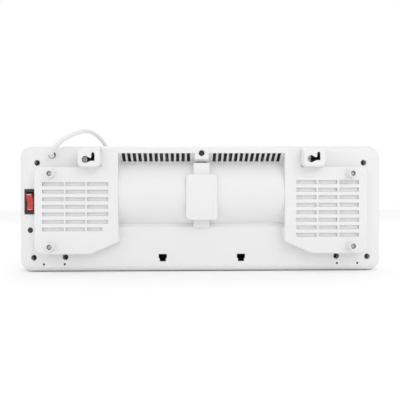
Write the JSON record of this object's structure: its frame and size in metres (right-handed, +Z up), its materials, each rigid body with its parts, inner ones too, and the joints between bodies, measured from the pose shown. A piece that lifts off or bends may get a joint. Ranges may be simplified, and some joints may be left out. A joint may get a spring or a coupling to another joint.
{
  "type": "wall-mounted ptc fan heater",
  "caption": "Wall-hung fan heater seen from its rear: finned ceramic element, crossflow fan, tilting outlet louver, hanging slots, rocker switch, mains cord and plug.",
  "frame": {"origin": "middle of the base, halfway between the fascia and the faces of the hanging pads", "axes": "+Z up, +Y out of the rear toward the wall, +X toward the switch and cord side, which is the viewer's left when the rear is seen"},
  "size_m": [0.54, 0.228, 0.2113],
  "materials": {
    "casing_white": "fine satin",
    "fascia_white": "gloss",
    "duct_grey": "matt",
    "black_plastic": "satin",
    "window_black": "gloss",
    "rocker_red": "translucent gloss",
    "screw_steel": "blackened",
    "bright_steel": "plated",
    "fin_aluminium": "mill",
    "pin_brass": "nickel over brass",
    "board_green": "solder mask",
    "rubber_black": "matt",
    "winding_copper": "enamelled copper",
    "cable_white": "matt sheath",
    "filter_grey": "open mesh"
  },
  "bodies": {
    "casing": {"air_duct": "duct_grey", "bearing_left": "rubber_black", "bearing_right": "rubber_black", "capacitor": "black_plastic", "casing_screw_1": "screw_steel", "casing_screw_2": "screw_steel", "casing_screw_3": "screw_steel", "casing_screw_4": "screw_steel", "casing_screw_5": "screw_steel", "casing_screw_6": "screw_steel", "casing_screw_7": "screw_steel", "cord_coil": "cable_white", "cord_gland": "black_plastic", "cord_tail": "cable_white", "cord_tie": "black_plastic", "display_board": "board_green", "display_digits": "window_black", "display_window": "window_black", "filter_left": "filter_grey", "filter_right": "filter_grey", "front_fascia": "fascia_white", "front_shell": "casing_white", "louver_motor": "bright_steel", "mode_contact": "black_plastic", "motor_cover": "casing_white", "motor_housing": "bright_steel", "motor_stator": "screw_steel", "outlet_grille": "black_plastic", "plug_body": "cable_white", "plug_pin_left": "pin_brass", "plug_pin_right": "pin_brass", "power_board": "board_green", "power_cord": "cable_white", "ptc_element": "fin_aluminium", "ptc_frame": "black_plastic", "rear_shell": "casing_white", "relay_left": "black_plastic", "relay_right": "black_plastic", "standoff_screw_1": "screw_steel", "standoff_screw_2": "screw_steel", "standoff_screw_3": "screw_steel", "standoff_screw_4": "screw_steel", "switch_housing": "black_plastic", "terminal_block": "duct_grey", "thermal_fuse": "pin_brass", "thermostat": "bright_steel", "transformer": "winding_copper", "winding_left": "winding_copper", "winding_right": "winding_copper"},
    "louver": {"louver": "casing_white"},
    "fan": {"fan_shaft": "bright_steel", "fan_wheel_left": "duct_grey", "fan_wheel_right": "duct_grey", "motor_rotor": "bright_steel"},
    "rocker": {"rocker": "rocker_red"},
    "mode_button": {"mode_button": "black_plastic"}
  },
  "joints": [
    {"name": "louver_swing", "type": "hinge", "parent": "casing", "child": "louver", "pos_m": [0, -0.0544, 0.0594], "axis": [-1, 0, 0], "range_deg": [0, 75]},
    {"name": "fan_spin", "type": "hinge", "parent": "casing", "child": "fan", "pos_m": [0, 0.006, 0.117], "axis": [1, 0, 0], "continuous": true},
    {"name": "rocker_tilt", "type": "hinge", "parent": "casing", "child": "rocker", "pos_m": [0.2524, 0.0242, 0.104], "axis": [0.9455, -0.3256, 0], "range_deg": [0, 14]},
    {"name": "mode_button_press", "type": "slide", "parent": "casing", "child": "mode_button", "axis": [-0.3256, -0.9455, 0], "range_m": [0, 0.0012], "stiffness_N_per_m": 300, "springref_m": -0.001}
  ]
}
